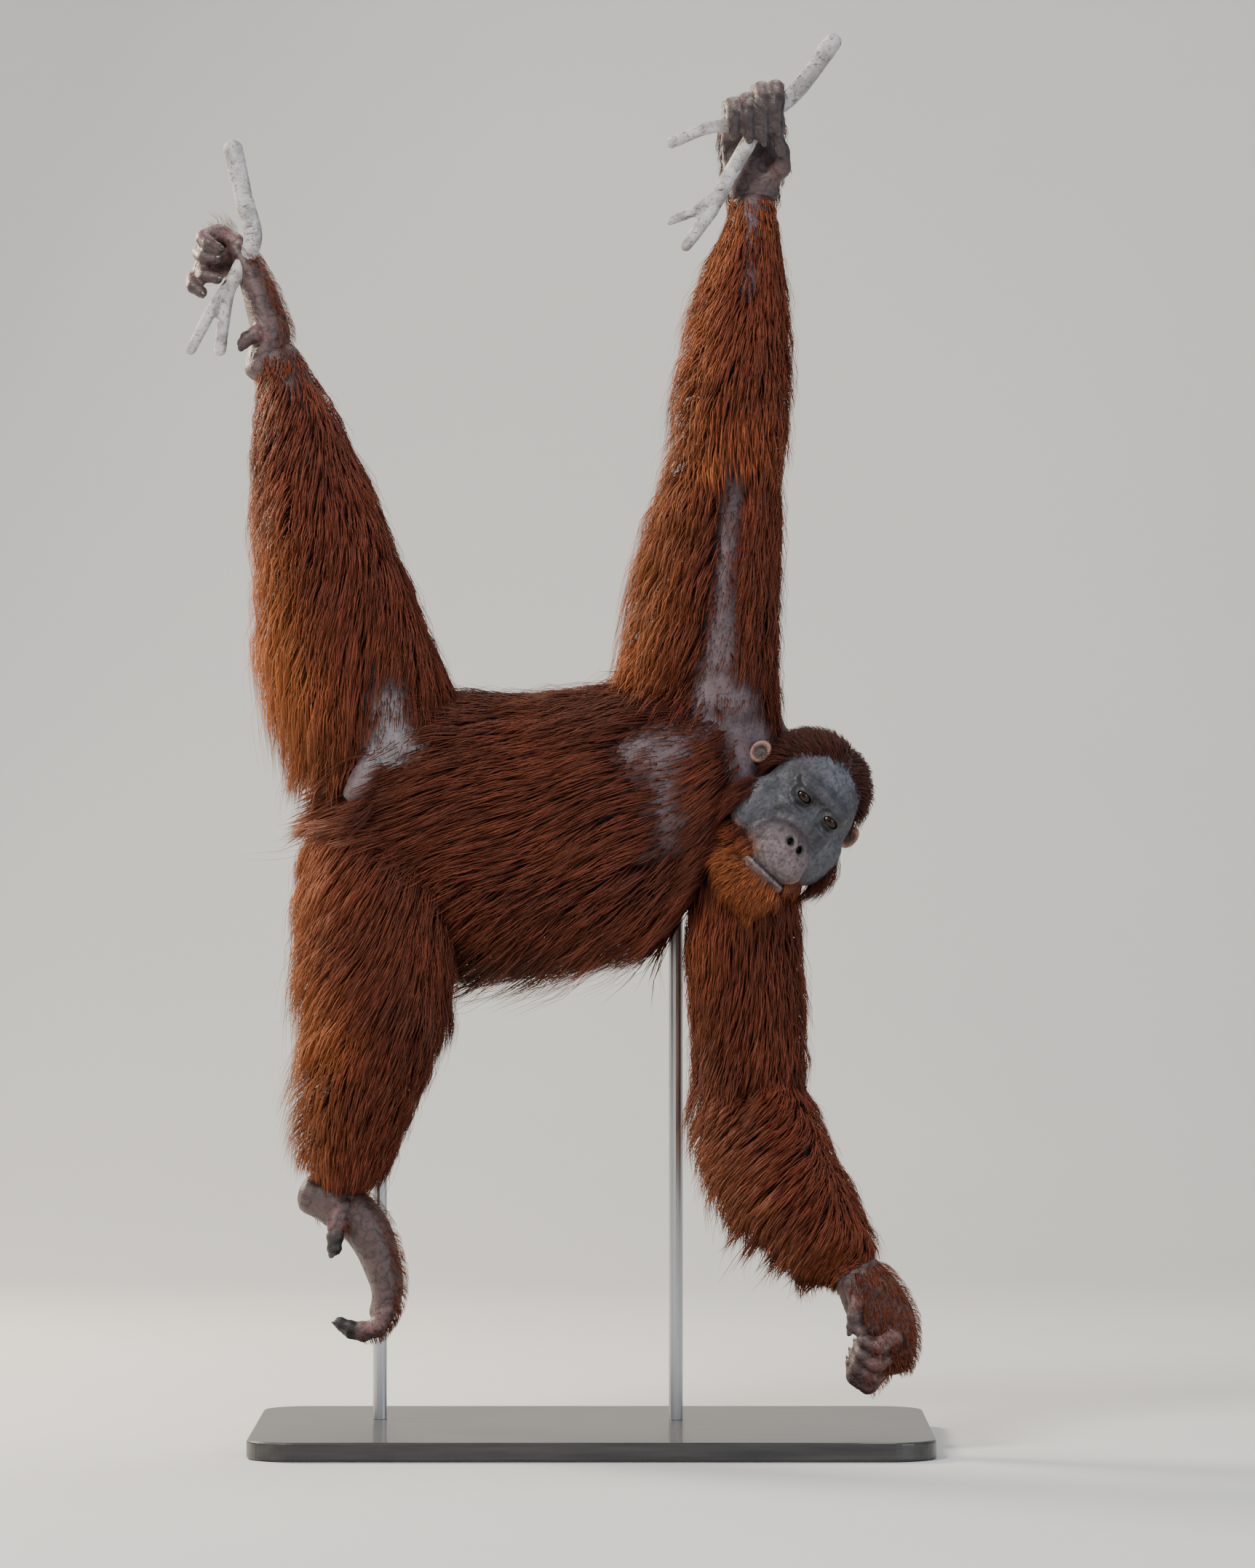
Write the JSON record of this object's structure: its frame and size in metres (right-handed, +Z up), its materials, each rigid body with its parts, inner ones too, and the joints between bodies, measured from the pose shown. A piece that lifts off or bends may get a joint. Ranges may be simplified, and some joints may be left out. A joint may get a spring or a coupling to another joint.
{
  "type": "orangutan",
  "caption": "Life-size still orangutan hanging by its right hand and right foot from short lengths of branch, held by rods on a flat display base.",
  "frame": {"origin": "centre of the underside of the stand's base", "axes": "+Z up, +X towards the animal's head end, -Y towards the viewer, whom its chest and face look at"},
  "size_m": [0.9472, 0.58, 1.7946],
  "materials": {
    "coat": "long red-brown hair",
    "skin": "bare grey-violet skin",
    "face": "dark blue-grey skin",
    "eye": "wet dark brown",
    "bark": "pale bark with dark specks",
    "base": "dark satin lacquer",
    "rod": "brushed"
  },
  "bodies": {
    "root": {"chest": "coat", "abdomen": "coat", "pelvis": "coat", "neck": "coat", "upper_arm_right": "coat", "upper_arm_left": "coat", "forearm_right": "coat", "forearm_left": "coat", "thigh_right": "coat", "thigh_left": "coat", "shank_right": "coat", "shank_left": "coat", "head": "face", "hand_right": "skin", "hand_left": "skin", "foot_right": "skin", "foot_left": "skin", "ear_right": "skin", "ear_left": "skin", "eye_right": "eye", "eye_left": "eye", "branch_hand": "bark", "branch_foot": "bark", "stand_base": "base", "stand_rod_hip": "rod", "stand_rod_chest": "rod"}
  },
  "joints": []
}
